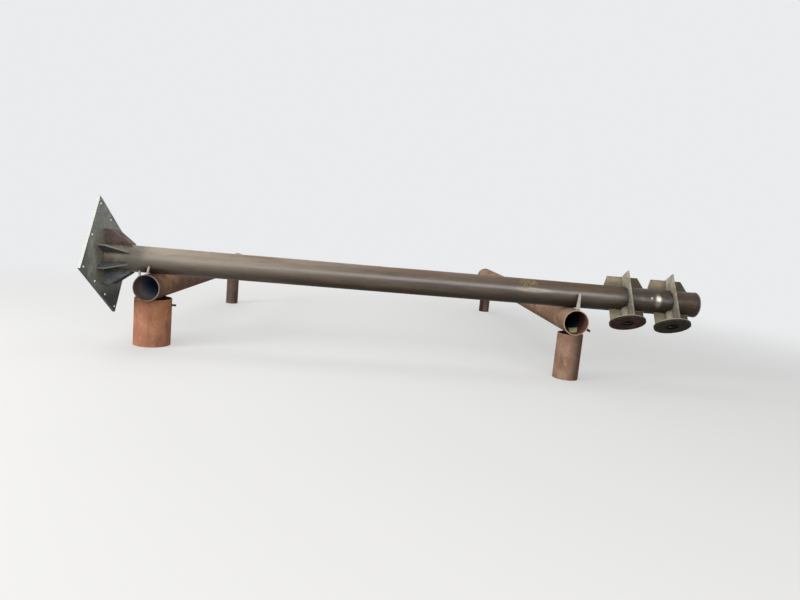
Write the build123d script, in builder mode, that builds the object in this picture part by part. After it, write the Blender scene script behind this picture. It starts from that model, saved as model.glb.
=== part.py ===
"""Steel post of a cantilever sign gantry, lying on two pipe trestles in the workshop."""
import os
from math import cos, radians, sin, tan

from build123d import *

os.makedirs("parts", exist_ok=True)

# Millimetres. X runs along the post from its base plate to its top end, Y away from the viewer,
# Z up from the floor. The origin is on the floor under the middle of the whole outline.
# Stations along the post are measured from the outer face of its base plate, and places
# across it from its middle line.

# Post
post_length = 6330.0        # outer face of the base plate to the outer face of the cap
post_d = 273.0
post_wall = 8.0
post_height = 907.0         # middle of the post over the floor
post_roll = 32.0            # degrees from straight down towards -Y, the side the arms go on
cap_t = 8.0

# Base plate, wider across the arms than along them
base_along = 800.0
base_across = 1036.0
base_t = 25.0
base_chamfer = 3.0          # on the four corners
bolt_hole_d = 36.0
bolt_edge = 50.0            # plate edge to the middle of a bolt hole
side_bolts = 4              # along each long side, corners among them
cable_hole_d = 200.0

# Gussets between the post and the base plate
gusset_count = 8
gusset_turn = 5.0           # of the first gusset, in degrees from the side the arms go on
gusset_t = 14.0
gusset_reach = 300.0        # from the middle of the post
gusset_length = 250.0
gusset_outer = 66.0         # outer edge, straight beside the post
gusset_end = 25.0           # height of the blunt end on the post
nip = 18.0                  # corners cut clear of a weld

# Arm brackets, set out from the top of the post
top_bracket_drop = 295.0    # top end to the upper bracket
bracket_spacing = 507.0
flange_d = 380.0
flange_t = 24.0
flange_face = 288.0         # middle of the post to the flange face
flange_bolt_circle_d = 310.0
flange_holes = 8
flange_hole_d = 26.0
stub_d = 133.0
stub_wall = 6.0
ring_t = 16.0
ring_width = 340.0
ring_far_reach = 270.0      # middle of the post to the far edge of the ring plate
web_t = 14.0
web_half = 190.0            # flange side, from the middle of the ring plate
back_web_foot = 225.0       # far side, along the post
back_web_top = 175.0        # far side, along the outer edge
fit_gap = 0.2               # between welded pieces that meet on a round face

# Trestles
beam_d = 273.0
beam_wall = 9.0
seat_gap = 0.2              # under the post and under the beams
leg_wall = 8.0
rear_leg_d = 177.8
rear_overhang = 240.0       # beam past the middle of its rear leg
left_station = 475.0
left_front_y = -160.0
left_leg_d = 377.0
left_leg_y = 115.0
left_leg_aside = -25.0      # middle of the front leg off the middle of the beam
left_rear_y = 3290.0
left_skew = 3.7             # degrees that the beam swings towards +X on its way back
right_trestle_drop = 589.0  # lower bracket to the right trestle
right_front_y = -220.0
right_leg_d = 273.0
right_leg_y = -80.0
right_leg_aside = 0.0
right_rear_y = 4600.0
right_skew = 1.0

# Stops and lugs on the trestles
pin_width = 18.0            # square bar
pin_length = 88.0
pin_turn = -2.0             # degrees round the beam from its top
pin_lean = 14.0             # degrees from upright
short_pin_length = 55.0
short_pin_turn = -35.0
short_pin_lean = -4.0
stop_gap = 36.0             # post to the stop
stop_height = 175.0         # over the top of the beam
stop_foot = 45.0
stop_top = 20.0
stop_lean = 9.0             # that its right edge goes in towards the top
stop_aside = 11.0           # left edge of the stop, left of the middle of the beam
stop_t = 12.0
lug_length = 48.0           # out from the pipe that it is welded on
lug_t = 12.0
leg_lug_height = 20.0
leg_lug_drop = 54.0         # under the top of the leg
beam_lug_height = 26.0
beam_lug_turn = 26.0        # degrees down from level

# Worked out from the above
post_r = post_d / 2
beam_r = beam_d / 2
stub_r = stub_d / 2
bracket_stations = (post_length - top_bracket_drop - bracket_spacing, post_length - top_bracket_drop)
right_station = bracket_stations[0] - right_trestle_drop
flange_back = flange_face - flange_t
beam_height = post_height - post_r - seat_gap - beam_r
leg_height = beam_height - beam_r - seat_gap
roll = radians(post_roll)
arm_way = Vector(0, -sin(roll), -cos(roll))
near_y = -(base_along / 2 - base_chamfer) * sin(roll) - base_across / 2 * cos(roll)
far_y = right_rear_y + rear_overhang + beam_r * sin(radians(right_skew))
mid_y = (near_y + far_y) / 2


def spot(station, y=0.0, z=0.0):
    """A point of the part's own frame from a station, a place across the post and a height."""
    return Vector(station - post_length / 2, y - mid_y, z)


def cross_plane(station):
    """Square to the post, with its X towards the arms."""
    return Plane(origin=spot(station, 0, post_height), x_dir=arm_way, z_dir=(1, 0, 0))


def long_plane(station, turn):
    """Along the post, with its Y pointing outwards at so many degrees from the arms' side."""
    angle = radians(turn) - roll
    outwards = Vector(0, sin(angle), -cos(angle))
    return Plane(origin=spot(station, 0, post_height), x_dir=(1, 0, 0), z_dir=Vector(1, 0, 0).cross(outwards))


def arm_plane(station, out):
    """Square to the arms, so far out from the middle of the post."""
    return Plane(origin=spot(station, 0, post_height) + arm_way * out, x_dir=(1, 0, 0), z_dir=arm_way)


def finish(piece, name):
    piece.part.label = name
    export_step(piece.part, f"parts/{name}.step")


# Post: one tube, its top closed by a flush cap, with a cable hole under each arm stub
with BuildPart() as post_tube:
    with BuildSketch(cross_plane(base_t)):
        Circle(post_r)
        Circle(post_r - post_wall, mode=Mode.SUBTRACT)
    extrude(amount=post_length - cap_t - base_t)
    for station in bracket_stations:
        with BuildSketch(arm_plane(station, 0)):
            Circle(stub_r - stub_wall)
        extrude(amount=post_d, mode=Mode.SUBTRACT)
finish(post_tube, "post_tube")

with BuildPart() as post_cap:
    with BuildSketch(cross_plane(post_length - cap_t)):
        Circle(post_r)
    extrude(amount=cap_t)
finish(post_cap, "post_cap")

# Base plate: bolts along each long side, and one more in the middle of each short side
bolt_along = base_along / 2 - bolt_edge
bolt_across = base_across / 2 - bolt_edge
with BuildPart() as base_plate:
    with BuildSketch(cross_plane(0)):
        Rectangle(base_along, base_across)
        Circle(cable_hole_d / 2, mode=Mode.SUBTRACT)
        with GridLocations(2 * bolt_along, 2 * bolt_across / (side_bolts - 1), 2, side_bolts):
            Circle(bolt_hole_d / 2, mode=Mode.SUBTRACT)
        with GridLocations(0, 2 * bolt_across, 1, 2):
            Circle(bolt_hole_d / 2, mode=Mode.SUBTRACT)
    extrude(amount=base_t)
    chamfer(base_plate.edges().filter_by(GeomType.LINE).filter_by(Axis.X), length=base_chamfer)
finish(base_plate, "base_plate")

for number in range(gusset_count):
    with BuildPart() as base_gusset:
        with BuildSketch(long_plane(base_t, gusset_turn + number * 360 / gusset_count)):
            with BuildLine():
                Polyline(
                    (0, post_r + nip),
                    (nip, post_r),
                    (gusset_length, post_r),
                    (gusset_length, post_r + gusset_end),
                    (gusset_outer, gusset_reach),
                    (0, gusset_reach),
                    close=True,
                )
            make_face()
        extrude(amount=gusset_t / 2, both=True)
    finish(base_gusset, f"base_gusset_{number + 1}")

# Arm brackets: a flange on a short stub, a ring plate round the post and webs along it
for bracket, station in enumerate(bracket_stations, start=1):
    with BuildPart() as arm_flange:
        with BuildSketch(arm_plane(station, flange_back)):
            Circle(flange_d / 2)
            Circle(stub_r - stub_wall, mode=Mode.SUBTRACT)
            with PolarLocations(flange_bolt_circle_d / 2, flange_holes, start_angle=180 / flange_holes):
                Circle(flange_hole_d / 2, mode=Mode.SUBTRACT)
        extrude(amount=flange_t)
    finish(arm_flange, f"arm_flange_{bracket}")

    with BuildPart() as arm_stub:
        with BuildSketch(arm_plane(station, 0)):
            Circle(stub_r)
            Circle(stub_r - stub_wall, mode=Mode.SUBTRACT)
        extrude(amount=flange_back)
        with BuildSketch(cross_plane(station - stub_d)):
            Circle(post_r + fit_gap)
        extrude(amount=2 * stub_d, mode=Mode.SUBTRACT)
    finish(arm_stub, f"arm_stub_{bracket}")

    with BuildPart() as ring_plate:
        with BuildSketch(cross_plane(station - ring_t / 2)):
            with Locations(((flange_back - ring_far_reach) / 2, 0)):
                Rectangle(flange_back + ring_far_reach, ring_width)
            Circle(post_r + fit_gap, mode=Mode.SUBTRACT)
        extrude(amount=ring_t)
        with BuildSketch(arm_plane(station, 0)):
            Circle(stub_r + fit_gap)
        extrude(amount=flange_back, mode=Mode.SUBTRACT)
    finish(ring_plate, f"ring_plate_{bracket}")

    for side, end in ((-1, "lower"), (1, "upper")):
        with BuildPart() as arm_web:
            with BuildSketch(long_plane(station, 0)):
                with BuildLine():
                    Polyline(
                        (side * (stub_r + fit_gap), post_r + nip),
                        (side * (stub_r + fit_gap + nip), post_r),
                        (side * web_half, post_r),
                        (side * web_half, flange_back),
                        (side * (stub_r + fit_gap), flange_back),
                        close=True,
                    )
                make_face()
            extrude(amount=web_t / 2, both=True)
        finish(arm_web, f"arm_web_{end}_{bracket}")

        with BuildPart() as back_web:
            with BuildSketch(long_plane(station, 180)):
                with BuildLine():
                    Polyline(
                        (side * ring_t / 2, post_r + nip),
                        (side * (ring_t / 2 + nip), post_r),
                        (side * back_web_foot, post_r),
                        (side * back_web_foot, post_r + nip),
                        (side * back_web_top, ring_far_reach),
                        (side * ring_t / 2, ring_far_reach),
                        close=True,
                    )
                make_face()
            extrude(amount=web_t / 2, both=True)
        finish(back_web, f"back_web_{end}_{bracket}")


# Trestles: a pipe beam on a front leg and a rear leg
def beam_way(skew):
    return Vector(sin(radians(skew)), cos(radians(skew)), 0)


def beam_plane(station, skew, y):
    """Square to a beam, at so far back from the middle of the post."""
    origin = spot(station + y * tan(radians(skew)), y, beam_height)
    return Plane(origin=origin, x_dir=Vector(0, 0, 1).cross(beam_way(skew)) * -1, z_dir=beam_way(skew))


def leg_foot(station, skew, y, aside):
    """The middle of a leg's foot, so far back and so far off the middle of its beam."""
    return spot(station + y * tan(radians(skew)) + aside, y)


left_front_leg = (left_leg_y, left_leg_aside, left_leg_d)
right_front_leg = (right_leg_y, right_leg_aside, right_leg_d)
trestles = (
    ("left", left_station, left_skew, left_front_y, left_front_leg, left_rear_y),
    ("right", right_station, right_skew, right_front_y, right_front_leg, right_rear_y),
)
for side, station, skew, front_y, front_leg, rear_y in trestles:
    beam_length = (rear_y + rear_overhang - front_y) / cos(radians(skew))
    with BuildPart() as trestle_beam:
        with BuildSketch(beam_plane(station, skew, front_y)):
            Circle(beam_r)
            Circle(beam_r - beam_wall, mode=Mode.SUBTRACT)
        extrude(amount=beam_length)
    finish(trestle_beam, f"{side}_beam")

    for place, leg in (("front", front_leg), ("rear", (rear_y, 0, rear_leg_d))):
        y, aside, diameter = leg
        with BuildPart() as trestle_leg:
            with BuildSketch(Plane(origin=leg_foot(station, skew, y, aside))):
                Circle(diameter / 2)
                Circle(diameter / 2 - leg_wall, mode=Mode.SUBTRACT)
            extrude(amount=leg_height)
        finish(trestle_leg, f"{side}_{place}_leg")

# Stops welded on the beams in front of the post, which keep it from rolling off
stop_pins = (
    (short_pin_turn, short_pin_lean, short_pin_length),
    (pin_turn, pin_lean, pin_length),
)
for number, (turn, lean, length) in enumerate(stop_pins, start=1):
    pin_root = beam_plane(left_station, left_skew, left_front_y + pin_width / 2).origin
    pin_root += Vector(sin(radians(turn)), 0, cos(radians(turn))) * (beam_r - pin_width)
    pin_way = Vector(sin(radians(lean)), 0, cos(radians(lean)))
    with BuildPart() as stop_pin:
        with BuildSketch(Plane(origin=pin_root, x_dir=(0, 1, 0), z_dir=pin_way)):
            Rectangle(pin_width, pin_width)
        extrude(amount=pin_width + length)
        with BuildSketch(beam_plane(left_station, left_skew, left_front_y - beam_r)):
            Circle(beam_r + fit_gap)
        extrude(amount=2 * beam_d, mode=Mode.SUBTRACT)
    finish(stop_pin, f"left_stop_pin_{number}")

with BuildPart() as stop_plate:
    stop_origin = beam_plane(right_station, right_skew, -post_r - stop_gap).origin - Vector(stop_aside, 0, 0)
    with BuildSketch(Plane(origin=stop_origin, x_dir=(1, 0, 0), z_dir=(0, -1, 0))):
        with BuildLine():
            Polyline(
                (0, 0),
                (stop_foot, 0),
                (stop_foot, beam_r),
                (stop_foot - stop_lean, beam_r + stop_height),
                (stop_foot - stop_lean - stop_top, beam_r + stop_height),
                (0, beam_r),
                close=True,
            )
        make_face()
    extrude(amount=stop_t)
    with BuildSketch(beam_plane(right_station, right_skew, right_front_y)):
        Circle(beam_r + fit_gap)
    extrude(amount=beam_d, mode=Mode.SUBTRACT)
finish(stop_plate, "right_stop_plate")

with BuildPart() as leg_lug:
    lug_foot = leg_foot(left_station, left_skew, left_leg_y, left_leg_aside)
    lug_base = leg_height - leg_lug_drop - leg_lug_height
    with BuildSketch(Plane(origin=lug_foot + Vector(0, 0, lug_base))):
        with Locations((left_leg_d / 4 + lug_length / 2, 0)):
            Rectangle(left_leg_d / 2 + lug_length, lug_t)
    extrude(amount=leg_lug_height)
    with BuildSketch(Plane(origin=lug_foot)):
        Circle(left_leg_d / 2 + fit_gap)
    extrude(amount=leg_height, mode=Mode.SUBTRACT)
finish(leg_lug, "left_leg_lug")

with BuildPart() as beam_lug:
    with BuildSketch(beam_plane(right_station, right_skew, right_front_y + lug_t)):
        with Locations(Location((0, 0), beam_lug_turn)):
            with Locations((beam_r / 2 + lug_length / 2, 0)):
                Rectangle(beam_r + lug_length, beam_lug_height)
    extrude(amount=lug_t)
    with BuildSketch(beam_plane(right_station, right_skew, right_front_y)):
        Circle(beam_r + fit_gap)
    extrude(amount=beam_d, mode=Mode.SUBTRACT)
finish(beam_lug, "right_beam_lug")
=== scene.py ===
import math

import bpy
from mathutils import Matrix, Vector


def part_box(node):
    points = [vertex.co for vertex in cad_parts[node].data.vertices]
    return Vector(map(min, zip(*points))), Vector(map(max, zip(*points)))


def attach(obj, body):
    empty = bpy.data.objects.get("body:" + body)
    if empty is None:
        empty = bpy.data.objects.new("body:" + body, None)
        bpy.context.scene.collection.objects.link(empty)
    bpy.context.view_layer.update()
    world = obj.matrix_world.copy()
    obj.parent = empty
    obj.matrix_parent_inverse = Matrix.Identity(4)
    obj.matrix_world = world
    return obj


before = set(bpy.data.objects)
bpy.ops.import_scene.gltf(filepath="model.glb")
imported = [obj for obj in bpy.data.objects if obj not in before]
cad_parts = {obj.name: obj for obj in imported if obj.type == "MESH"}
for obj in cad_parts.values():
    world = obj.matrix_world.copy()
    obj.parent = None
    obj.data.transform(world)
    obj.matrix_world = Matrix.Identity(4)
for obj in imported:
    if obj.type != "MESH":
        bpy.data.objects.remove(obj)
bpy.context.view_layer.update()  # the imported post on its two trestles


# small helpers that the whole script uses
def pickOnly(piece):
    for item in bpy.context.selected_objects:
        item.select_set(False)
    piece.select_set(True)
    bpy.context.view_layer.objects.active = piece


def applyAll(piece):  # every modifier, in order
    pickOnly(piece)
    for modifier in list(piece.modifiers):
        bpy.ops.object.modifier_apply(modifier=modifier.name)


def settle(piece):  # place, turn and size go into the mesh, the object stays at the origin
    pickOnly(piece)
    bpy.ops.object.transform_apply(location=True, rotation=True, scale=True)


def joinPieces(parts, name):
    pickOnly(parts[0])
    for item in parts[1:]:
        item.select_set(True)
    bpy.ops.object.join()
    joined = bpy.context.view_layer.objects.active
    joined.name = joined.data.name = name
    return joined


def copyPiece(piece, name, shift=(0, 0, 0), turn=0.0, centre=(0, 0, 0)):
    pickOnly(piece)
    bpy.ops.object.duplicate()
    copied = bpy.context.view_layer.objects.active
    copied.name = copied.data.name = name
    spin = Matrix.Translation(centre) @ Matrix.Rotation(turn, 4, "X") @ Matrix.Translation(-Vector(centre))
    copied.matrix_world = Matrix.Translation(shift) @ spin @ copied.matrix_world
    settle(copied)
    return copied


def middleOf(node):
    low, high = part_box(node)
    return (low + high) / 2


# places taken from the frame, in metres
plateLow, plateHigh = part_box("base_plate")
postLow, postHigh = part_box("post_tube")
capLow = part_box("post_cap")[0]
postRadius = (postHigh.y - postLow.y) / 2
postAxis = Vector((0, (postLow.y + postHigh.y) / 2, (postLow.z + postHigh.z) / 2))
armRoll = math.radians(32)  # the arms point down and towards the viewer
armWay = Vector((0, -math.sin(armRoll), -math.cos(armRoll)))
crossWay = Vector((0, -math.cos(armRoll), math.sin(armRoll)))
bracketStations = [middleOf("ring_plate_1").x, middleOf("ring_plate_2").x]
print("frame read:", len(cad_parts), "nodes")

# camera, at the photograph's own place and angle
photoCamera = {
    "fromPlate": (2.49315, -6.52658, 1.57547),  # from the floor under the outer face of the base plate
    "yaw": 0.0862,  # to the right of straight across the post, in radians
    "pitch": 0.1330,  # downwards
    "roll": -0.0916,  # held a little askew
    "focalPixels": 616.85,
    "photoWidth": 800,
    "sensor": 36.0,
    "farthest": 300,  # metres that it sees
}


def makeCamera(view):
    yaw, pitch, roll = view["yaw"], view["pitch"], view["roll"]
    ahead = Vector((math.sin(yaw), math.cos(yaw), 0))
    right = Vector((math.cos(yaw), -math.sin(yaw), 0))
    up = Vector((0, 0, 1))
    look = ahead * math.cos(pitch) - up * math.sin(pitch)
    lifted = ahead * math.sin(pitch) + up * math.cos(pitch)
    side = right * math.cos(roll) - lifted * math.sin(roll)
    top = right * math.sin(roll) + lifted * math.cos(roll)
    bpy.ops.object.camera_add()
    camera = bpy.context.object
    turn = Matrix((side, top, -look)).transposed().to_4x4()
    offset = Vector(view["fromPlate"])
    place = Vector((plateLow.x + offset.x, postAxis.y + offset.y, offset.z))
    camera.matrix_world = Matrix.Translation(place) @ turn
    camera.data.sensor_width = view["sensor"]
    camera.data.lens = view["focalPixels"] / view["photoWidth"] * view["sensor"]
    camera.data.clip_end = view["farthest"]
    bpy.context.scene.camera = camera


makeCamera(photoCamera)
print("camera placed")


def linearColour(code):  # an sRGB hex value as linear colour
    channels = []
    for start in (1, 3, 5):
        value = int(code[start:start + 2], 16) / 255
        channels.append(value / 12.92 if value <= 0.04045 else ((value + 0.055) / 1.055) ** 2.4)
    return (*channels, 1.0)


def addNode(tree, kind, values=None, **settings):  # a value that is a socket is linked
    node = tree.nodes.new(kind)
    for key, value in settings.items():
        setattr(node, key, value)
    for key, value in (values or {}).items():
        if isinstance(value, bpy.types.NodeSocket):
            tree.links.new(value, node.inputs[key])
        else:
            node.inputs[key].default_value = value
    return node


# studio: a plain pale floor that runs out into the pale background, under plain soft light
studio = {
    "worldColour": "#F2F3F4",
    "worldStrength": 0.50,
    "backgroundStrength": 0.93,  # what the camera and reflections see
    "floorColour": "#D2D0CC",
    "floorGlow": 0.45,  # share of the background's own tone near the part, so that the floor stays even
    "floorShade": "#56524C",  # what the floor throws back on the underside
    "floorRough": 0.9,
    "floorSize": 160.0,
    "floorFade": (4.0, 10.0),  # metres from the part: own colour, then the background's
    "lamps": {  # places in metres, those across the post from its axis
        "front": {"power": 610.0, "size": (15.0, 4.2), "place": (1.0, -8.8, 4.9)},  # its glint runs along the post
        "left": {"power": 850.0, "size": (4.0, 4.0), "place": (-10.0, -5.0, 4.5)},
        "overhead": {"power": 125.0, "size": (8.0, 3.0), "place": (-3.2, 1.4, 6.0)},
        # so that the back isn't in the dark
        "rear": {"power": 260.0, "size": (10.0, 3.0), "place": (-4.0, 9.6, 3.2)},
    },
}


def makeStudio(look):
    world = bpy.data.worlds.new("studioWorld")
    bpy.context.scene.world = world
    world.use_nodes = True
    tree = world.node_tree
    tree.nodes.clear()
    seen = seenDirectly(tree)
    strength = addNode(tree, "ShaderNodeMapRange", {"Value": seen, "To Min": look["worldStrength"],
                                                    "To Max": look["backgroundStrength"]})
    light = addNode(tree, "ShaderNodeBackground", {"Color": linearColour(look["worldColour"]),
                                                   "Strength": strength.outputs[0]})
    addNode(tree, "ShaderNodeOutputWorld", {"Surface": light.outputs[0]})
    for name, made in look["lamps"].items():
        place = Vector(made["place"]) + Vector((0, postAxis.y, 0))
        bpy.ops.object.light_add(type="AREA", location=place)
        lamp = bpy.context.object
        lamp.name = name + "Softbox"
        lamp.data.shape = "RECTANGLE"
        lamp.data.size, lamp.data.size_y = made["size"]
        lamp.data.energy = made["power"]
        # the left one looks at the post's middle, the others straight across at it
        aim = Vector((0 if name == "left" else place.x, postAxis.y, postAxis.z)) - place
        lamp.rotation_euler = aim.to_track_quat("-Z", "Y").to_euler()
    bpy.ops.mesh.primitive_plane_add(size=look["floorSize"])
    floor = bpy.context.object
    floor.name = floor.data.name = "studioFloor"
    settle(floor)
    painted = bpy.data.materials.new("paleFloor")
    painted.use_nodes = True
    tree = painted.node_tree
    shader = tree.nodes["Principled BSDF"]
    seen = seenDirectly(tree)
    colour = addNode(tree, "ShaderNodeMix", {0: seen, 6: linearColour(look["floorShade"]),
                                             7: linearColour(look["floorColour"])}, data_type="RGBA")
    tree.links.new(colour.outputs[2], shader.inputs["Base Color"])
    shader.inputs["Roughness"].default_value = look["floorRough"]
    place = addNode(tree, "ShaderNodeTexCoord").outputs["Object"]
    away = addNode(tree, "ShaderNodeVectorMath", {0: place, 1: (0, postAxis.y, 0)}, operation="DISTANCE")
    near, far = look["floorFade"]
    even = addNode(tree, "ShaderNodeMath", {0: seen, 1: look["floorGlow"]}, operation="MULTIPLY")
    fade = addNode(tree, "ShaderNodeMapRange", {"Value": away.outputs["Value"], "From Min": near, "From Max": far,
                                                "To Min": even.outputs[0], "To Max": seen},
                   interpolation_type="SMOOTHSTEP")
    glow = addNode(tree, "ShaderNodeEmission", {"Color": linearColour(look["worldColour"]),
                                                "Strength": look["backgroundStrength"]})
    blend = addNode(tree, "ShaderNodeMixShader", {0: fade.outputs[0], 1: shader.outputs[0], 2: glow.outputs[0]})
    tree.links.new(blend.outputs[0], tree.nodes["Material Output"].inputs["Surface"])
    floor.data.materials.append(painted)


def seenDirectly(tree):  # 1 for the camera and for what mirrors or shows through, 0 for light that is thrown back
    rays = addNode(tree, "ShaderNodeLightPath")
    seen = rays.outputs["Is Camera Ray"]
    for other in ("Is Glossy Ray", "Is Transmission Ray"):
        seen = addNode(tree, "ShaderNodeMath", {0: seen, 1: rays.outputs[other]}, operation="MAXIMUM").outputs[0]
    return seen


makeStudio(studio)
bpy.context.scene.view_settings.view_transform = "Standard"
print("studio ready")


# Finishes. One builder lays coats of colour over a base: each coat has a pattern whose size is in
# millimetres, and may be kept to faces that look one way, to a stretch of the part or to its cut edges.
finishRules = {  # where two values stand, a mask is none at the first and full at the second
    "grainRoughness": 0.55,  # how broken up every pattern is
    "cutEdge": (0.6, 0.4),  # how far a face may look the plate's own way and still be a cut edge
    "innerWall": (-0.4, -0.8),  # how far a face has to look back at a pipe's middle line
    "softEdge": 0.0015,  # radius that sharp edges are shaded with, in metres
    "waveRepeat": math.pi / 10,  # distance from wave to wave at scale 1, in metres
}


def patternMask(tree, place, coat):
    stretch = coat.get("stretch", (1, 1, 1))
    scale = tuple(1000 / (coat["mm"] * s) for s in stretch)
    sized = addNode(tree, "ShaderNodeMapping", {"Vector": place, "Scale": scale})
    grain = addNode(tree, "ShaderNodeTexNoise", {"Vector": sized.outputs[0], "Scale": 1.0,
                                                 "Detail": coat.get("detail", 4.0),
                                                 "Roughness": finishRules["grainRoughness"]})
    low, high = coat["cut"]
    return addNode(tree, "ShaderNodeMapRange", {"Value": grain.outputs[0], "From Min": low, "From Max": high,
                                                "To Max": coat.get("amount", 1.0)}).outputs[0]


def directionMask(tree, surface, direction, low, high, twoSided=False):
    turned = addNode(tree, "ShaderNodeVectorMath", {0: surface.outputs["True Normal"], 1: direction},
                     operation="DOT_PRODUCT").outputs["Value"]
    if twoSided:
        turned = addNode(tree, "ShaderNodeMath", {0: turned}, operation="ABSOLUTE").outputs[0]
    return addNode(tree, "ShaderNodeMapRange", {"Value": turned, "From Min": low, "From Max": high}).outputs[0]


def coatMask(tree, place, surface, coat):
    masks = [patternMask(tree, place, coat)]
    fades = []  # distances, each with where the coat is none and where it is full
    if "facing" in coat:  # direction, and where the coat starts and is full
        direction, low, high = coat["facing"]
        masks.append(directionMask(tree, surface, direction, low, high))
    if "edgesOf" in coat:  # all faces but those of the plate itself, whose direction is given
        masks.append(directionMask(tree, surface, coat["edgesOf"], *finishRules["cutEdge"], twoSided=True))
    if "hoopEdges" in coat:  # the same for plates that stand out from the post all round
        arm = addNode(tree, "ShaderNodeVectorMath", {0: place, 1: tuple(postAxis)}, operation="SUBTRACT")
        hoop = addNode(tree, "ShaderNodeVectorMath", {0: arm.outputs[0], 1: (1, 0, 0)}, operation="CROSS_PRODUCT")
        hoop = addNode(tree, "ShaderNodeVectorMath", {0: hoop.outputs[0]}, operation="NORMALIZE")
        masks.append(directionMask(tree, surface, hoop.outputs[0], *finishRules["cutEdge"], twoSided=True))
    if "inside" in coat:  # the inner wall of a pipe: a point of its middle line, and that line's direction
        centre, line = coat["inside"]
        arm = addNode(tree, "ShaderNodeVectorMath", {0: place, 1: tuple(centre)}, operation="SUBTRACT")
        ahead = addNode(tree, "ShaderNodeVectorMath", {0: arm.outputs[0], 1: tuple(line)}, operation="PROJECT")
        arm = addNode(tree, "ShaderNodeVectorMath", {0: arm.outputs[0], 1: ahead.outputs[0]}, operation="SUBTRACT")
        arm = addNode(tree, "ShaderNodeVectorMath", {0: arm.outputs[0]}, operation="NORMALIZE")
        masks.append(directionMask(tree, surface, arm.outputs[0], *finishRules["innerWall"]))
    if "fromLine" in coat:  # distance from a slanted line: a point of it, its direction, none at, full at
        centre, line, none, full = coat["fromLine"]
        arm = addNode(tree, "ShaderNodeVectorMath", {0: place, 1: tuple(centre)}, operation="SUBTRACT")
        ahead = addNode(tree, "ShaderNodeVectorMath", {0: arm.outputs[0], 1: tuple(line)}, operation="PROJECT")
        away = addNode(tree, "ShaderNodeVectorMath", {0: arm.outputs[0], 1: ahead.outputs[0]},
                       operation="DISTANCE")
        fades.append((away, none, full))
    for direction, none, full in coat.get("bands", []):  # along a direction: none at, full at
        along = addNode(tree, "ShaderNodeVectorMath", {0: place, 1: direction}, operation="DOT_PRODUCT")
        fades.append((along, none, full))
    if "around" in coat:  # a point, or with a flattened distance a line or a plane: centre, none at, full at
        centre, none, full, flat = coat["around"]
        away = addNode(tree, "ShaderNodeVectorMath", {0: place, 1: tuple(centre)}, operation="SUBTRACT")
        away = addNode(tree, "ShaderNodeVectorMath", {0: away.outputs[0], 1: flat}, operation="MULTIPLY")
        away = addNode(tree, "ShaderNodeVectorMath", {0: away.outputs[0]}, operation="LENGTH")
        fades.append((away, none, full))
    for distance, none, full in fades:
        masks.append(addNode(tree, "ShaderNodeMapRange", {"Value": distance.outputs["Value"], "From Min": none,
                                                          "From Max": full},
                             interpolation_type="SMOOTHSTEP").outputs[0])
    whole = masks[0]
    for mask in masks[1:]:
        whole = addNode(tree, "ShaderNodeMath", {0: whole, 1: mask}, operation="MULTIPLY").outputs[0]
    return whole


def makeFinish(name, look):
    material = bpy.data.materials.new(name)
    material.use_nodes = True
    tree = material.node_tree
    shader = tree.nodes["Principled BSDF"]
    place = addNode(tree, "ShaderNodeTexCoord").outputs["Object"]
    surface = addNode(tree, "ShaderNodeNewGeometry")
    colour = linearColour(look["base"])
    sheen = {"Roughness": look["rough"], "Metallic": look["metal"], "Specular IOR Level": look["gloss"]}
    for coat in look["coats"]:
        mask = coatMask(tree, place, surface, coat)
        colour = addNode(tree, "ShaderNodeMix", {0: mask, 6: colour, 7: linearColour(coat["colour"])},
                         data_type="RGBA").outputs[2]
        for key, word in (("Roughness", "rough"), ("Metallic", "metal"), ("Specular IOR Level", "gloss")):
            if word in coat:
                sheen[key] = addNode(tree, "ShaderNodeMix", {0: mask, 2: sheen[key], 3: coat[word]}).outputs[0]
    for key, value in (("Base Color", colour), *sheen.items()):
        if isinstance(value, bpy.types.NodeSocket):
            tree.links.new(value, shader.inputs[key])
        else:
            shader.inputs[key].default_value = value
    height = None
    for relief in look["relief"]:  # fine texture of the surface, each with its depth in millimetres
        scale = tuple(1000 / (relief["mm"] * s) for s in relief.get("stretch", (1, 1, 1)))
        sized = addNode(tree, "ShaderNodeMapping", {"Vector": place, "Scale": scale})
        grain = addNode(tree, "ShaderNodeTexNoise", {"Vector": sized.outputs[0], "Scale": 1.0,
                                                     "Detail": relief.get("detail", 3.0)})
        low, high = relief.get("cut", (0.0, 1.0))
        raised = addNode(tree, "ShaderNodeMapRange", {"Value": grain.outputs[0], "From Min": low, "From Max": high,
                                                      "To Max": relief["depth"] / 1000}).outputs[0]
        if height:
            raised = addNode(tree, "ShaderNodeMath", {0: height, 1: raised}, operation="ADD").outputs[0]
        height = raised
    if "turned" in look:  # rings left by a lathe, round the arm's axis: pitch and depth in millimetres
        centre, pitch, depth = look["turned"]
        laid = addNode(tree, "ShaderNodeMapping", {"Vector": place, "Location": tuple(-Vector(centre))})
        level = addNode(tree, "ShaderNodeMapping", {"Vector": laid.outputs[0], "Rotation": (armRoll, 0, 0)})
        rings = addNode(tree, "ShaderNodeTexWave", {
            "Vector": level.outputs[0], "Scale": finishRules["waveRepeat"] / (pitch / 1000),
            "Distortion": 0.6, "Detail Scale": 4.0}, wave_type="RINGS", rings_direction="Z")
        raised = addNode(tree, "ShaderNodeMath", {0: rings.outputs["Fac"], 1: depth / 1000}, operation="MULTIPLY")
        height = addNode(tree, "ShaderNodeMath", {0: height, 1: raised.outputs[0]}, operation="ADD").outputs[0]
    softened = addNode(tree, "ShaderNodeBevel", {"Radius": finishRules["softEdge"]}, samples=4)
    bumped = addNode(tree, "ShaderNodeBump", {"Height": height, "Distance": 1.0, "Strength": 1.0,
                                              "Normal": softened.outputs[0]})
    tree.links.new(bumped.outputs[0], shader.inputs["Normal"])
    return material


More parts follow.
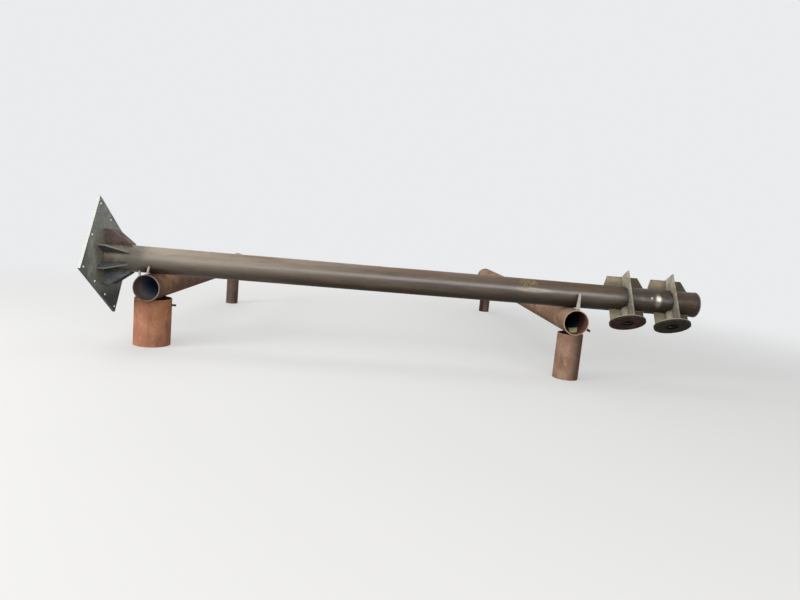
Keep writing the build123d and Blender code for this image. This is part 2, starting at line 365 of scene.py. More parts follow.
upwards, downwards, towardsViewer = (0, 0, 1), (0, 0, -1), (0, -1, 0)
alongPost, inwards = Vector((1, 0, 0)), Vector((0, 1, 0))  # towards the top of the post, away from the viewer
postLine = (0, postAxis.y, postAxis.z)
acrossPost = (0, 1, 1)  # distance from the post's middle line only
alongOnly = (1, 0, 0)  # distance along the post only
everyWay = (1, 1, 1)
lowerRing = (bracketStations[0], 0, 0)
upperRing = (bracketStations[1], 0, 0)
chalkSpot = (1.245, -2.179, 1.015)  # a smudge of yellow chalk
rubbedStretch = (1.30, -2.229, 0.9385)  # scale rubbed paler by a chain
# the two spots below are ground back to steel and painted near white, partly as a painted highlight of their glint
groundSpotGlint = (2.688, -2.2243, 0.9545)  # scale ground off between the brackets
groundEdge = (2.682, -2.2143, 0.930)  # thinned scale under it
smallSpotGlint = (2.6099, -2.2236, 0.9564)  # a smaller one beside it

# Mill scale on hot rolled pipe: a thin grey oxide skin with a dull sheen, long marks from the rolls, a top that is
# pale at the foot end, partly workshop dust and partly painted light, and darker towards the tip as painted shade,
# a tip darker all round, partly stain and partly painted shade, an underside darkened as painted shade, brown rust
# where the skin has flaked, brown heat marks beside the welds, and two small spots ground back to bright steel,
# painted near white partly as a painted highlight
millScale = {
    "base": "#4F4235", "rough": 0.29, "metal": 0.1, "gloss": 0.9,
    "coats": [
        {"colour": "#352B22", "mm": 90, "stretch": (9, 1, 1), "cut": (0.45, 0.62), "amount": 0.7, "rough": 0.27},
        {"colour": "#6C5F4C", "mm": 60, "stretch": (14, 1, 1), "cut": (0.52, 0.66), "amount": 0.5, "rough": 0.33},
        {"colour": "#644430", "mm": 70, "stretch": (4, 1, 1), "cut": (0.57, 0.68), "amount": 0.5, "rough": 0.5,
         "metal": 0.0},
        {"colour": "#5F4730", "mm": 180, "stretch": (5, 1, 1), "cut": (0.28, 0.52), "amount": 0.8, "rough": 0.55,
         "metal": 0.0, "gloss": 0.2, "facing": (upwards, 0.45, 0.9)},
        # painted shade: the top darker towards the tip, where less light falls
        {"colour": "#3C2E1F", "mm": 120, "stretch": (5, 1, 1), "cut": (0.22, 0.46), "amount": 0.65, "rough": 0.55,
         "gloss": 0.15, "facing": (upwards, 0.35, 0.8), "bands": [(alongPost, 0.3, 2.4)]},
        # the top paler towards the foot end, partly workshop dust and partly painted light
        {"colour": "#9B9080", "mm": 220, "stretch": (5, 1, 1), "cut": (0.24, 0.52), "amount": 0.85, "rough": 0.55,
         "metal": 0.0, "gloss": 0.35, "facing": (upwards, -0.6, 0.65), "bands": [(alongPost, 0.0, -2.6)]},
        # darker all round towards the tip, partly stain and partly painted shade
        {"colour": "#29231C", "mm": 70, "cut": (0.26, 0.56), "amount": 0.8, "rough": 0.34, "gloss": 0.4,
         "bands": [(alongPost, 1.9, 2.7)]},
        {"colour": "#262119", "mm": 34, "stretch": (0.7, 1, 1), "cut": (0.28, 0.54), "amount": 0.85, "rough": 0.46,
         "gloss": 0.5, "around": (lowerRing, 0.15, 0.03, alongOnly)},
        {"colour": "#262119", "mm": 34, "stretch": (0.7, 1, 1), "cut": (0.40, 0.58), "amount": 0.75, "rough": 0.34,
         "around": (upperRing, 0.19, 0.03, alongOnly)},
        {"colour": "#46362A", "mm": 70, "cut": (0.20, 0.40), "amount": 0.85, "gloss": 0.2,
         "bands": [(alongPost, 2.86, 2.98)]},
        {"colour": "#827D6D", "mm": 40, "cut": (0.36, 0.56), "amount": 0.8, "rough": 0.5,
         "around": ((plateHigh.x, 0, 0), 0.50, 0.15, alongOnly)},
        {"colour": "#605D51", "mm": 50, "cut": (0.16, 0.46), "amount": 0.75, "rough": 0.5,
         "around": ((plateHigh.x + 0.29, 0, 0), 0.16, 0.04, alongOnly)},
        {"colour": "#8B7B6A", "mm": 4, "stretch": (60, 1, 1), "cut": (0.60, 0.64), "amount": 0.35},
        {"colour": "#2B231D", "mm": 9, "cut": (0.62, 0.66), "amount": 0.5, "rough": 0.5, "gloss": 0.4},
        {"colour": "#76563F", "mm": 22, "cut": (0.64, 0.68), "amount": 0.5, "rough": 0.5, "gloss": 0.4},
        # painted shade: the underside darker, less so at the foot
        {"colour": "#3A2D22", "mm": 160, "stretch": (5, 1, 1), "cut": (0.15, 0.45), "amount": 0.85, "rough": 0.7,
         "gloss": 0.08, "facing": (downwards, 0.0, 0.7), "bands": [(alongPost, -4.2, -0.6)]},
        # painted shade: the lower side darker again towards the tip
        {"colour": "#2A251B", "mm": 110, "stretch": (4, 1, 1), "cut": (0.15, 0.45), "amount": 0.65, "rough": 0.5,
         "gloss": 0.2, "facing": (downwards, -0.12, 0.45), "bands": [(alongPost, 0.2, 1.7)]},
        {"colour": "#8C7E46", "mm": 22, "cut": (0.42, 0.56), "amount": 0.6, "rough": 0.6,
         "around": (chalkSpot, 0.09, 0.03, (0.7, 1, 1))},
        {"colour": "#A29B8C", "mm": 18, "stretch": (7, 1, 1), "cut": (0.36, 0.60), "amount": 0.6, "rough": 0.32,
         "around": (rubbedStretch, 0.040, 0.014, (0.14, 1, 1))},
        {"colour": "#33292A", "mm": 20, "cut": (0.10, 0.40), "amount": 0.8, "rough": 0.5, "gloss": 0.3,
         "bands": [(alongPost, postHigh.x - 0.045, postHigh.x - 0.020)]},
        {"colour": "#8F8678", "mm": 12, "cut": (0.30, 0.56), "amount": 0.75, "rough": 0.32,
         "around": (groundEdge, 0.070, 0.025, (1.3, 0.7, 0.7))},
        # bare ground steel, painted near white partly as a painted highlight
        {"colour": "#E6E0D4", "mm": 8, "cut": (0.26, 0.50), "rough": 0.38, "metal": 0.5,
         "around": (groundSpotGlint, 0.042, 0.012, (1.0, 1.0, 0.85))},
        {"colour": "#D0CABD", "mm": 9, "cut": (0.10, 0.4), "amount": 0.75, "rough": 0.38, "metal": 0.5,
         "around": (smallSpotGlint, 0.018, 0.004, everyWay)},
    ],
    "relief": [{"mm": 7, "depth": 0.3, "detail": 4.0}, {"mm": 45, "stretch": (6, 1, 1), "depth": 0.5}],
}

# Hot rolled plate: blue-grey scale that is olive and brown with heat round the gussets, one long edge bright,
# partly bare cut steel and partly a painted highlight
baseScale = {
    "base": "#828780", "rough": 0.5, "metal": 0.1, "gloss": 0.3,
    "coats": [
        {"colour": "#8C938C", "mm": 170, "cut": (0.44, 0.62), "amount": 0.8, "rough": 0.42},
        # zones: darker upper part, lighter middle of both halves, darker edge near the viewer as painted shade
        {"colour": "#5A605C", "mm": 120, "cut": (0.15, 0.50), "amount": 0.9, "bands": [(upwards, 0.98, 1.25)]},
        {"colour": "#B8BBB0", "mm": 120, "cut": (0.15, 0.50), "amount": 0.75,
         "bands": [(inwards, -2.15, -2.33), (inwards, -2.64, -2.50),
                   (upwards, 1.24, 1.06), (upwards, 0.66, 0.80)]},
        {"colour": "#5A605C", "mm": 90, "cut": (0.15, 0.50), "amount": 0.6, "bands": [(inwards, -2.54, -2.64)]},
        {"colour": "#76796A", "mm": 75, "cut": (0.50, 0.62), "amount": 0.6},
        {"colour": "#857C80", "mm": 95, "cut": (0.54, 0.64), "amount": 0.55},
        {"colour": "#5E645F", "mm": 110, "cut": (0.50, 0.64), "amount": 0.5},
        {"colour": "#88846F", "mm": 90, "cut": (0.30, 0.52), "amount": 0.75,
         "around": (postLine, 0.46, 0.24, acrossPost)},
        {"colour": "#6B5646", "mm": 60, "cut": (0.56, 0.68), "amount": 0.4, "rough": 0.75, "metal": 0.0},
        {"colour": "#9A9C94", "mm": 26, "cut": (0.61, 0.635), "amount": 0.45, "detail": 6.0},
        {"colour": "#474B47", "mm": 11, "cut": (0.60, 0.63), "amount": 0.45},
        # the dark lower tip, then the cut edges, the long one near the viewer bright, partly bare steel and partly
        # a painted highlight
        {"colour": "#181D1E", "mm": 150, "cut": (0.14, 0.38), "amount": 0.95, "rough": 0.65,
         "bands": [(downwards, -0.68, -0.46)]},
        {"colour": "#5A5D5E", "mm": 6, "stretch": (8, 1, 1), "cut": (0.15, 0.4), "rough": 0.5,
         "edgesOf": (1, 0, 0)},
        {"colour": "#C3C3BD", "mm": 9, "stretch": (12, 1, 1), "cut": (0.10, 0.35), "rough": 0.5,
         "facing": (tuple(crossWay), 0.7, 0.9)},
    ],
    "relief": [{"mm": 6, "depth": 0.4, "detail": 4.0}, {"mm": 60, "depth": 0.6}],
}


# Flame-cut plate of the gussets: the same scale, two of them reddened, with cut edges a little lighter
def gussetLook(base, bloom, edge):
    return {
        "base": base, "rough": 0.52, "metal": 0.1, "gloss": 0.3,
        "coats": [
            {"colour": bloom, "mm": 120, "cut": (0.42, 0.58), "amount": 0.8, "rough": 0.6},
            {"colour": "#37342E", "mm": 45, "cut": (0.54, 0.66), "amount": 0.6},
            {"colour": "#5A4636", "mm": 35, "cut": (0.40, 0.58), "amount": 0.7,
             "around": (postLine, 0.20, 0.15, acrossPost)},
            {"colour": edge, "mm": 5, "cut": (0.2, 0.5), "amount": 0.9, "rough": 0.45, "hoopEdges": True},
        ],
        "relief": [{"mm": 5, "depth": 0.4, "detail": 4.0}],
    }


# Bracket plate: sheared plate, grey-green with a thin bloom of dust and first rust, more beige on the stubs
def bracketLook(base, bloom, stain):
    return {
        "base": base, "rough": 0.66, "metal": 0.1, "gloss": 0.3,
        "coats": [
            {"colour": bloom, "mm": 90, "cut": (0.42, 0.60), "amount": 0.85},
            {"colour": stain, "mm": 70, "cut": (0.52, 0.66), "amount": 0.7, "rough": 0.8},
            {"colour": "#59503F", "mm": 26, "cut": (0.58, 0.70), "amount": 0.7},
            {"colour": "#6A6353", "mm": 40, "cut": (0.20, 0.50), "amount": 0.45,
             "around": (postLine, 0.205, 0.150, acrossPost)},
            # painted shade: darker towards the bottom
            {"colour": "#5E5C50", "mm": 60, "cut": (0.15, 0.45), "amount": 0.6,
             "bands": [(downwards, -1.02, -0.82)]},
            # the insides of the two stubs, painted near black as painted shade
            {"colour": "#14110E", "mm": 40, "cut": (0.10, 0.30), "rough": 0.8,
             "inside": (middleOf("arm_stub_1"), tuple(armWay)), "around": (lowerRing, 0.068, 0.064, alongOnly)},
            {"colour": "#14110E", "mm": 40, "cut": (0.10, 0.30), "rough": 0.8,
             "inside": (middleOf("arm_stub_2"), tuple(armWay)), "around": (upperRing, 0.068, 0.064, alongOnly)},
        ],
        "relief": [{"mm": 5, "depth": 0.4, "detail": 4.0}],
    }


# Webs: flame-cut plate as a lit and a shaded copy: pale on the lower side of each bracket as painted light,
# darker and browner on the upper one as painted shade
def webLook(base, bloom, stain, edge):
    return {
        "base": base, "rough": 0.72, "metal": 0.1, "gloss": 0.25,
        "coats": [
            {"colour": bloom, "mm": 80, "cut": (0.44, 0.60), "amount": 0.8},
            {"colour": stain, "mm": 60, "cut": (0.52, 0.66), "amount": 0.7},
            # painted shade: darker near the post
            {"colour": "#4F483B", "mm": 40, "cut": (0.20, 0.50), "amount": 0.6,
             "around": (postLine, 0.230, 0.160, acrossPost)},
            {"colour": edge, "mm": 5, "cut": (0.2, 0.5), "rough": 0.55, "edgesOf": tuple(crossWay)},
        ],
        "relief": [{"mm": 5, "depth": 0.4, "detail": 4.0}],
    }


# where the seams of an arm bracket run, in metres from the post's axis or along it from the bracket's middle
bracketSeam = {"stub": 0.0665, "ringHalf": 0.008, "webHalf": 0.007, "nip": 0.018, "flangeBack": 0.264,
               "ringSide": 0.170, "webEnd": 0.190, "backFoot": 0.225, "backTop": 0.270,
               "rimStop": 0.004,  # a web's seam stops this short of the flange's rim
               "hoopClear": 0.07,  # radians left free beside the stub by the seam round the post
               "saddleSteps": 60}


# Turned flange: dark forged steel with lathe rings, browned by rust on the lower one
def flangeLook(base, rim, rustAmount, node):
    centre = middleOf(node)
    flangeBack = postAxis.dot(armWay) + bracketSeam["flangeBack"]
    return {
        "base": base, "rough": 0.8, "metal": 0.0, "gloss": 0.1,
        "coats": [
            {"colour": "#674539", "mm": 60, "cut": (0.40, 0.60), "amount": rustAmount, "rough": 0.75,
             "metal": 0.0},
            {"colour": "#1B1916", "mm": 40, "cut": (0.54, 0.66), "amount": 0.8},
            {"colour": rim, "mm": 22, "cut": (0.35, 0.60), "amount": 0.75,
             "fromLine": (centre, armWay, 0.150, 0.172)},
            {"colour": "#201D1A", "mm": 30, "cut": (0.30, 0.55), "amount": 0.8,
             "fromLine": (centre, armWay, 0.105, 0.080)},
            {"colour": "#A39C86", "mm": 8, "cut": (0.1, 0.4), "rough": 0.55, "metal": 0.2,
             "facing": (tuple(-armWay), 0.2, 0.6)},
            {"colour": "#2B2520", "mm": 12, "cut": (0.1, 0.4), "amount": 0.85, "edgesOf": armWay},
            {"colour": "#A39C86", "mm": 8, "cut": (0.1, 0.4), "amount": 0.9, "rough": 0.6, "edgesOf": armWay,
             "bands": [(armWay, flangeBack + 0.010, flangeBack + 0.004)]},
            # painted shade: the bore near black
            {"colour": "#0B0A0A", "mm": 12, "cut": (0.0, 0.2), "rough": 0.8, "metal": 0.0,
             "inside": (centre, tuple(armWay))},
        ],
        "relief": [{"mm": 4, "depth": 0.25, "detail": 4.0}],
        "turned": (centre, 2.5, 0.12),
    }


# Old pipe of the trestles: red-brown and orange rust all over, streaked by rain, cut ends brighter
def pipeRust(shades, endWay, node):
    leg = node.endswith("_leg")
    streak = (1, 1, 3) if leg else (1, 3, 1)
    low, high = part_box(node)
    line = (0, 0, 1) if leg else trestleWay[node.split("_")[0]]
    return {
        "base": shades["base"], "rough": 0.82, "metal": 0.0, "gloss": 0.15,
        "coats": [
            {"colour": shades["bright"], "mm": 190, "cut": (0.42, 0.60), "amount": 0.85},
            {"colour": shades["dark"], "mm": 80, "stretch": streak, "cut": (0.54, 0.70), "amount": 0.6,
             "rough": 0.7},
            {"colour": shades["dark"], "mm": 24, "cut": (0.62, 0.72), "amount": 0.6},
            {"colour": shades["pale"], "mm": 70, "cut": (0.58, 0.72), "amount": 0.35},
            {"colour": shades["dark"], "mm": 8, "cut": (0.60, 0.64), "amount": 0.5},
            {"colour": shades["pale"], "mm": 13, "cut": (0.64, 0.67), "amount": 0.4},
        ] + shades.get("skin", []) + [
            {"colour": shades["inner"], "mm": 60, "cut": (0.1, 0.3), "rough": 0.85,
             "inside": ((low + high) / 2, line)},
            {"colour": shades.get("rim", shades["pale"]), "mm": 6, "cut": (0.1, 0.4), "rough": 0.5,
             "facing": (endWay, 0.9, 0.97)},
        ] + shades.get("more", []),
        "relief": [{"mm": 5, "depth": 0.6, "detail": 5.0}, {"mm": 18, "depth": 0.7, "cut": (0.42, 0.62)}],
    }


# how far each beam is turned from straight across the post
trestleSkew = {"left": math.radians(3.7), "right": math.radians(1.0)}
trestleWay = {side: (math.sin(skew), math.cos(skew), 0) for side, skew in trestleSkew.items()}
leftMouth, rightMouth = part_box("left_beam")[0].y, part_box("right_beam")[0].y
leftBore = (middleOf("left_beam"), trestleWay["left"])
rightBore = (middleOf("right_beam"), trestleWay["right"])
yellowMark = {  # an old mark inside the right mouth
    "corners": [(-0.013, 0.140), (0.064, 0.110), (0.106, 0.230), (0.063, 0.380)],  # across from the middle, and in
    "soft": 0.006,
    "under": (0.62, 0.60),  # heights that it starts and is full at, so that it stays on the lower wall
}


def markBands(mark):
    middle = middleOf("right_beam")
    axisX = middle.x + (rightMouth - middle.y) * math.tan(trestleSkew["right"])
    corners = [Vector((axisX + across, rightMouth + depth, 0)) for across, depth in mark["corners"]]
    highest, full = mark["under"]
    bands = [(downwards, -highest, -full)]
    for start, end in zip(corners, corners[1:] + corners[:1]):
        inner = (end - start).cross(Vector(downwards)).normalized()
        bands.append((inner, inner.dot(start), inner.dot(start) + mark["soft"]))
    return bands


pipeShades = {
    "leftLeg": {"base": "#A26E56", "bright": "#B98565", "dark": "#734D3D", "pale": "#CBA88A", "inner": "#4A342A",
                "more": [{"colour": "#A06A36", "mm": 45, "cut": (0.34, 0.56), "amount": 0.55,
                          "facing": (alongPost, 0.2, 0.7), "bands": [(upwards, 0.25, 0.36)]}]},
    "rightLeg": {"base": "#8A6A58", "bright": "#A58673", "dark": "#5F463A", "pale": "#C2A692", "inner": "#3C2B24",
                 # painted shade: the leg's side that looks up the post darker, away from the light
                 "skin": [{"colour": "#4C382E", "mm": 90, "cut": (0.08, 0.40), "amount": 0.8,
                           "facing": (alongPost, -0.3, 0.5)}]},
    "rearLeg": {"base": "#635148", "bright": "#745F54", "dark": "#45372F", "pale": "#8C7B70", "inner": "#3C2B24"},
    "leftBeam": {"base": "#7C5A46", "bright": "#A57A59", "dark": "#523B2E", "pale": "#B08F77", "inner": "#83705F",
                 "rim": "#9A8782",
                 "more": [{"colour": "#6A5249", "mm": 120, "cut": (0.25, 0.50), "amount": 0.65,
                           "bands": [(inwards, leftMouth + 0.45, leftMouth + 0.95)]},
                          {"colour": "#51403D", "mm": 50, "cut": (0.20, 0.50), "amount": 0.6,
                           "bands": [(inwards, leftMouth + 0.20, leftMouth + 0.07),
                                     (inwards, leftMouth + 0.0, leftMouth + 0.012)]},
                          # painted shade: a blue-grey cast inside the bore
                          {"colour": "#8290AA", "mm": 60, "cut": (0.1, 0.3), "rough": 0.9, "inside": leftBore,
                           "bands": [(inwards, leftMouth + 0.05, leftMouth + 0.45),
                                     (inwards, leftMouth + 2.8, leftMouth + 1.8)]}]},
    "rightBeam": {"base": "#7B5C48", "bright": "#9A7A60", "dark": "#4F3B30", "pale": "#B59A8A", "inner": "#6E4A3E",
                  "skin": [{"colour": "#BC9D8A", "mm": 34, "cut": (0.30, 0.56), "amount": 0.4,
                            "facing": (upwards, 0.2, 0.8),
                            "bands": [(inwards, rightMouth + 1.0, rightMouth + 0.2)]},
                           {"colour": "#C09678", "mm": 60, "cut": (0.34, 0.60), "amount": 0.4,
                            "facing": (alongPost, 0.2, -0.5),
                            "bands": [(inwards, rightMouth + 1.4, rightMouth + 0.9),
                                      (inwards, rightMouth + 0.2, rightMouth + 0.6)]}],
                  # painted shade: the bore near the mouth dark blue-grey
                  "more": [{"colour": "#333D50", "mm": 60, "cut": (0.1, 0.3), "rough": 0.9, "inside": rightBore,
                            "bands": [(inwards, rightMouth + 0.08, rightMouth + 0.35),
                                      (inwards, rightMouth + 2.8, rightMouth + 1.8)]},
                           {"colour": "#FFF9B4", "mm": 30, "cut": (0.1, 0.3), "rough": 0.7, "inside": rightBore,
                            "bands": markBands(yellowMark)}]},
}

# Bright drawn bar, clean, with a faint yellow of old oil
bareBar = {
    "base": "#B4B2A7", "rough": 0.38, "metal": 0.5, "gloss": 0.5,
    "coats": [{"colour": "#9A9482", "mm": 25, "cut": (0.50, 0.64), "amount": 0.7, "rough": 0.5}],
    "relief": [{"mm": 3, "depth": 0.1}],
}
# Old lugs: dark brown, rusted through like the pipes that carry them
darkLug = {
    "base": "#3B2C24", "rough": 0.8, "metal": 0.0, "gloss": 0.2,
    "coats": [{"colour": "#5E4636", "mm": 14, "cut": (0.48, 0.62), "amount": 0.8}],
    "relief": [{"mm": 3, "depth": 0.4}],
}
# Weld metal: blue-grey beads with brown smoke beside them
weldMetal = {
    "base": "#6B6862", "rough": 0.38, "metal": 0.4, "gloss": 0.5,
    "coats": [
        {"colour": "#342F2A", "mm": 25, "cut": (0.44, 0.60), "amount": 0.8},
        {"colour": "#7E6248", "mm": 40, "cut": (0.50, 0.64), "amount": 0.7, "rough": 0.7, "metal": 0.0},
        {"colour": "#A6A49D", "mm": 14, "cut": (0.60, 0.70), "amount": 0.8},
    ],
    "relief": [{"mm": 2, "depth": 0.15}],
}

# Old tacks on the trestles, rusted like the pipes
oldTack = {
    "base": "#5B453A", "rough": 0.6, "metal": 0.1, "gloss": 0.3,
    "coats": [{"colour": "#8A6A55", "mm": 16, "cut": (0.46, 0.60), "amount": 0.7}],
    "relief": [{"mm": 2, "depth": 0.2}],
}

looks = {
    "millScaleTube": millScale,
    "basePlateScale": baseScale,
    "gussetReddened": gussetLook("#7B6A66", "#857370", "#63544F"),
    "gussetGrey": gussetLook("#626562", "#6F7374", "#8D9390"),
    "gussetDark": gussetLook("#6E7373", "#5C6263", "#747A77"),
    "bracketPlateBloom": bracketLook("#928D7B", "#B0AB98", "#7D7465"),
    "stubPipeBloom": bracketLook("#A79B87", "#C8BCA7", "#8A7E6E"),
    "webPlateLit": webLook("#877D6A", "#9C8D76", "#675E4C", "#A59D8A"),
    "webPlateShaded": webLook("#4C4636", "#5D5040", "#363126", "#857D6B"),
    "turnedFlangeBrown": flangeLook("#3B2D26", "#6E6258", 0.9, "arm_flange_1"),
    "turnedFlangeDark": flangeLook("#383A32", "#66695B", 0.2, "arm_flange_2"),
    "leftLegRust": pipeRust(pipeShades["leftLeg"], upwards, "left_front_leg"),
    "rightLegRust": pipeRust(pipeShades["rightLeg"], upwards, "right_front_leg"),
    "rearLegRust": pipeRust(pipeShades["rearLeg"], upwards, "left_rear_leg"),
    "leftBeamRust": pipeRust(pipeShades["leftBeam"], towardsViewer, "left_beam"),
    "rightBeamRust": pipeRust(pipeShades["rightBeam"], towardsViewer, "right_beam"),
    "drawnBar": bareBar,
    "darkLug": darkLug,
    "weldMetal": weldMetal,
    "oldTack": oldTack,
}
finishes = {name: makeFinish(name, look) for name, look in looks.items()}


def finishOf(node):
    if node in ("post_tube", "post_cap"):
        return "millScaleTube"
    if node == "base_plate":
        return "basePlateScale"
    if node.startswith("base_gusset"):
        number = node[-1]
        return "gussetReddened" if number in "56" else "gussetDark" if number in "12" else "gussetGrey"
    if node.startswith("ring_plate"):
        return "bracketPlateBloom"
    if node.startswith("arm_stub"):
        return "stubPipeBloom"
    if node.startswith(("arm_web", "back_web")):
        return "webPlateLit" if "lower" in node else "webPlateShaded"
    if node.startswith("arm_flange"):
        return "turnedFlangeBrown" if node.endswith("1") else "turnedFlangeDark"
    if node.endswith("rear_leg"):
        return "rearLegRust"
    if node.endswith("_leg"):
        return "leftLegRust" if node.startswith("left") else "rightLegRust"
    if node.endswith("_beam"):
        return "leftBeamRust" if node.startswith("left") else "rightBeamRust"
    if node.endswith("_lug"):
        return "darkLug"
    return "drawnBar"


for node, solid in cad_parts.items():
    solid.data.materials.clear()
    solid.data.materials.append(finishes[finishOf(node)])
print("finishes laid on", len(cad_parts), "nodes")

# Weld beads: one ripple is modelled, repeated along the seam and bent to it, as runs of a stick electrode lie
weldBead = {
    "leg": 0.008,  # how far the bead covers each plate
    "pitch": 0.0062,  # from one ripple to the next
    "ripple": 0.66,  # how long a ripple is for its height
    "wobble": 0.0016,  # how far the hand strays
    "wobbleScale": 0.03,  # from one such stray to the next, in metres
}
# size of each bead against the one above
beadSize = {"foot": 1.3, "cap": 0.8, "gusset": 1.0, "hoop": 1.1, "saddle": 1.1, "stub": 0.9, "ringSide": 1.0,
            "web": 0.9, "webFoot": 1.0, "rimTack": 0.8, "stopTack": 0.6, "footTack": 0.55}
goRound = 0.003  # how far a bead goes out round the end of a plate
beadWobble = bpy.data.textures.new("beadWobble", "CLOUDS")
beadWobble.noise_scale = weldBead["wobbleScale"]


def tracePath(points):  # one corner is drawn out from point to point
    bpy.ops.mesh.primitive_plane_add(size=0.01, location=points[0])  # any small size, as it is merged
    line = bpy.context.object
    settle(line)
    bpy.ops.object.mode_set(mode="EDIT")
    bpy.ops.mesh.select_all(action="SELECT")
    bpy.ops.mesh.merge(type="CENTER")
    for start, end in zip(points, points[1:]):
        bpy.ops.mesh.extrude_region_move(TRANSFORM_OT_translate={"value": end - start})
    bpy.ops.object.mode_set(mode="OBJECT")
    pickOnly(line)
    bpy.ops.object.convert(target="CURVE")
    return bpy.context.view_layer.objects.active


def layBead(points, size=1.0):
    line = tracePath(points)
    leg = weldBead["leg"] * size
    bpy.ops.mesh.primitive_uv_sphere_add(segments=8, ring_count=5, radius=leg, scale=(weldBead["ripple"], 1, 1))
    bead = bpy.context.object
    settle(bead)
    row = bead.modifiers.new("ripples", "ARRAY")
    row.fit_type, row.curve = "FIT_CURVE", line
    row.use_relative_offset, row.use_constant_offset = False, True
    row.constant_offset_displace = (weldBead["pitch"] * size, 0, 0)
    bend = bead.modifiers.new("alongSeam", "CURVE")
    bend.object = line
    sway = bead.modifiers.new("handWobble", "DISPLACE")
    sway.texture, sway.texture_coords = beadWobble, "LOCAL"
    sway.strength = weldBead["wobble"]
    applyAll(bead)
    bpy.ops.object.shade_smooth()
    bpy.data.objects.remove(line)
    return bead


def layWelds(name, seams, finish="weldMetal"):
    welds = joinPieces([layBead(points, size) for points, size in seams], name)
    return dress(welds, finish)


def dress(piece, finish):
    piece.data.materials.clear()
    piece.data.materials.append(finishes[finish])
    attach(piece, "root")
    return piece


def ringPath(centre, first, second, radius, start=0.0, stop=2 * math.pi, steps=48):
    turns = [start + (stop - start) * step / steps for step in range(steps + 1)]
    return [centre + (first * math.cos(turn) + second * math.sin(turn)) * radius for turn in turns]


sideways, upright = inwards, Vector((0, 0, 1))

# Seams of the post itself: round the foot at the base plate, and round the cap
footSeam = Vector((plateHigh.x, postAxis.y, postAxis.z))
capSeam = Vector((capLow.x, postAxis.y, postAxis.z))
capSink = 0.003  # the cap's bead lies this much inside the tube's skin
footRing = ringPath(footSeam, sideways, upright, postRadius, steps=72)
capRing = ringPath(capSeam, sideways, upright, postRadius - capSink, steps=72)
layWelds("postFootWeld", [(footRing, beadSize["foot"])])
layWelds("postCapWeld", [(capRing, beadSize["cap"])])
print("post seams welded")

# Gusset seams: each gusset is welded down both sides and round its ends, along the post and along the plate
gussetSeam = {"turn": math.radians(5), "count": 8, "half": 0.007, "nip": 0.018, "alongPost": 0.25, "outTo": 0.30}


def gussetSeams(turn):
    out = Vector((0, math.sin(turn - armRoll), -math.cos(turn - armRoll)))
    hoop = alongPost.cross(out) * gussetSeam["half"]
    nip, far, top = gussetSeam["nip"], gussetSeam["alongPost"], gussetSeam["outTo"]

    def at(along, reach, side):
        return footSeam + alongPost * along + out * reach + hoop * side

    onPost = [at(nip, postRadius, 1), at(far, postRadius, 1), at(far + goRound, postRadius, 0),
              at(far, postRadius, -1), at(nip, postRadius, -1)]
    onPlate = [at(0, postRadius + nip, 1), at(0, top, 1), at(0, top + goRound, 0), at(0, top, -1),
               at(0, postRadius + nip, -1)]
    return [(onPost, beadSize["gusset"]), (onPlate, beadSize["gusset"])]


firstWelds = layWelds("gussetWelds_1", gussetSeams(gussetSeam["turn"]))
for number in range(1, gussetSeam["count"]):
    turn = 2 * math.pi * number / gussetSeam["count"]
    turned = copyPiece(firstWelds, f"gussetWelds_{number + 1}", turn=turn, centre=tuple(footSeam))
    dress(turned, "weldMetal")
print("gussets welded")


# Seams of an arm bracket, modelled on the lower one and copied to the upper one
def bracketSeams(station):
    seam = bracketSeam
    stub, ring, web, nip, back = seam["stub"], seam["ringHalf"], seam["webHalf"], seam["nip"], seam["flangeBack"]
    centre = Vector((station, postAxis.y, postAxis.z))
    stubFoot = math.sqrt(postRadius ** 2 - stub ** 2)
    reach = math.asin(stub / postRadius) + seam["hoopClear"]

    def at(along, out, side):
        return centre + alongPost * along + armWay * out + crossWay * side

    seams = []
    for face in (-ring, ring):  # ring plate to post, to stub and to flange
        hoop = ringPath(centre + alongPost * face, armWay, crossWay, postRadius, reach, 2 * math.pi - reach)
        seams.append((hoop, beadSize["hoop"]))
        for hand in (-1, 1):
            root, corner = at(face, stubFoot, hand * stub), at(face, back, hand * stub)
            seams.append(([root, corner], beadSize["stub"]))
            seams.append(([corner, at(face, back, hand * seam["ringSide"])], beadSize["ringSide"]))
    saddle = []
    for step in range(seam["saddleSteps"] + 1):  # stub to post, a saddle-shaped seam
        turn = 2 * math.pi * step / seam["saddleSteps"]
        aside = stub * math.sin(turn)
        saddle.append(at(stub * math.cos(turn), math.sqrt(postRadius ** 2 - aside ** 2), aside))
    seams.append((saddle, beadSize["saddle"]))
    seams.append((ringPath(at(0, back, 0), alongPost, crossWay, stub), beadSize["saddle"]))
    webRim = seam["webEnd"] - seam["rimStop"]
    for end in (-1, 1):
        for hand in (-web, web):  # web to stub, web to flange, and back web to ring plate
            for line in ([at(end * stub, stubFoot + nip, hand), at(end * stub, back, hand)],
                         [at(end * stub, back, hand), at(end * webRim, back, hand)],
                         [at(end * ring, -postRadius - nip, hand), at(end * ring, -seam["backTop"], hand)]):
                seams.append((line, beadSize["web"]))
        for start, stop, out in ((stub + nip, seam["webEnd"], postRadius),
                                 (ring + nip, seam["backFoot"], -postRadius)):  # both webs to post
            foot = [at(end * start, out, web), at(end * stop, out, web), at(end * (stop + goRound), out, 0),
                    at(end * stop, out, -web), at(end * start, out, -web)]
            seams.append((foot, beadSize["webFoot"]))
    return seams


firstBracket = layWelds("bracketWelds_1", bracketSeams(bracketStations[0]))
secondBracket = copyPiece(firstBracket, "bracketWelds_2", shift=(bracketStations[1] - bracketStations[0], 0, 0))
dress(secondBracket, "weldMetal")
print("brackets welded")

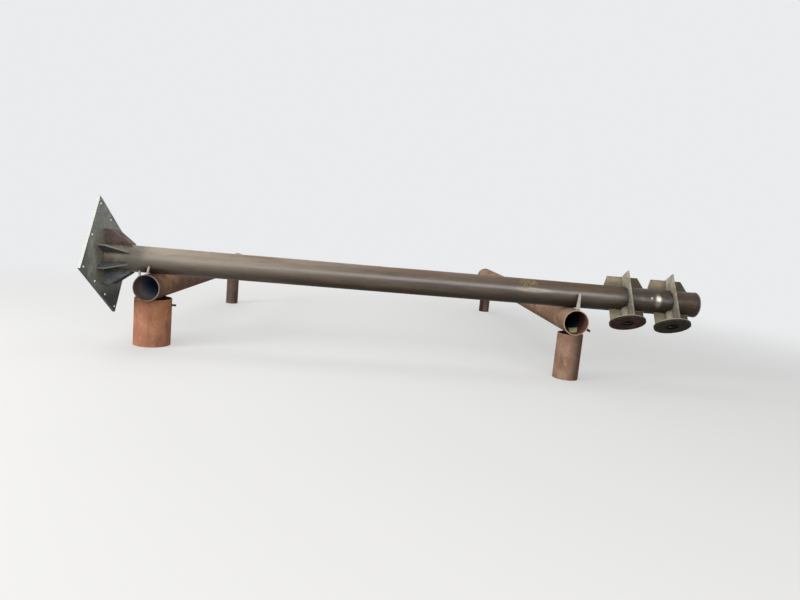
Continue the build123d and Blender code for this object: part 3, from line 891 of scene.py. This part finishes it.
# Trestles: tack welds where each beam rests on the rims of its legs, and round the feet of pins, stop and lugs
tack = {
    "half": 0.042, "inFromRim": 0.003, "over": 0.0025,  # on the rims of the legs
    "pinTurns": {"left_stop_pin_1": -35, "left_stop_pin_2": -2},  # degrees round the beam from its top
    "lugTurn": 90 + 26,  # 26 degrees down from level
    "pinHalf": (0.0105, 0.0100),  # half the sides of a foot, and so for the lugs
    "legLugHalf": (0.007, 0.011),
    "beamLugHalf": (0.014, 0.0075),
    "lugSink": 0.001,
    "stopSteps": 6,
}


def beamLine(side):
    low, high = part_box(side + "_beam")
    way = Vector(trestleWay[side])
    return (low + high) / 2, way, way.cross(upright), (high.z - low.z) / 2


def rimTacks(side):
    middle, way, across, _ = beamLine(side)
    seams = []
    for leg in ("front", "rear"):
        low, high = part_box(f"{side}_{leg}_leg")
        centre = Vector(((low.x + high.x) / 2, (low.y + high.y) / 2, high.z + tack["over"]))
        radius = (high.y - low.y) / 2
        offset = across * (middle - centre).dot(across)
        for end in (-1, 1):
            touch = (offset + way * end * math.sqrt(radius ** 2 - offset.length ** 2)).normalized()
            spread = tack["half"] / radius
            seams.append((ringPath(centre, touch, upright.cross(touch), radius - tack["inFromRim"],
                                   -spread, spread, steps=10), beadSize["rimTack"]))
    return seams


def footTack(middle, first, second):  # round the foot of a bar, given half its sides
    corners = [middle + first * a + second * b for a, b in ((-1, -1), (1, -1), (1, 1), (-1, 1), (-1, -1))]
    return corners, beadSize["footTack"]


def beamPoint(side, turn, y):  # on the beam's skin: the point, the way round it and the way along it
    middle, way, across, radius = beamLine(side)
    axis = middle + way * (y - middle.y) / way.y
    out = across * math.sin(turn) + upright * math.cos(turn)
    return axis + out * radius, across * math.cos(turn) - upright * math.sin(turn), way


leftSeams, rightSeams = rimTacks("left"), rimTacks("right")
for node, turn in tack["pinTurns"].items():
    foot, hoop, way = beamPoint("left", math.radians(turn), middleOf(node).y)
    leftSeams.append(footTack(foot, hoop * tack["pinHalf"][0], way * tack["pinHalf"][1]))
lugLow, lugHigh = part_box("left_leg_lug")
lugFoot = Vector((lugLow.x + tack["lugSink"], (lugLow.y + lugHigh.y) / 2, (lugLow.z + lugHigh.z) / 2))
leftSeams.append(footTack(lugFoot, sideways * tack["legLugHalf"][0], upright * tack["legLugHalf"][1]))
foot, hoop, way = beamPoint("right", math.radians(tack["lugTurn"]), middleOf("right_beam_lug").y)
rightSeams.append(footTack(foot, hoop * tack["beamLugHalf"][0], way * tack["beamLugHalf"][1]))
stopLow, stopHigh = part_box("right_stop_plate")
middle, way, across, radius = beamLine("right")
for y in (stopLow.y, stopHigh.y):  # along both faces of the stop
    axis = middle + way * (y - middle.y) / way.y
    count = tack["stopSteps"]
    steps = [stopLow.x + (stopHigh.x - stopLow.x) * step / count for step in range(count + 1)]
    face = [Vector((x, y, axis.z + math.sqrt(radius ** 2 - (x - axis.x) ** 2))) for x in steps]
    rightSeams.append((face, beadSize["stopTack"]))
layWelds("leftTrestleTacks", leftSeams, "oldTack")
layWelds("rightTrestleTacks", rightSeams, "oldTack")
print("trestles tacked")
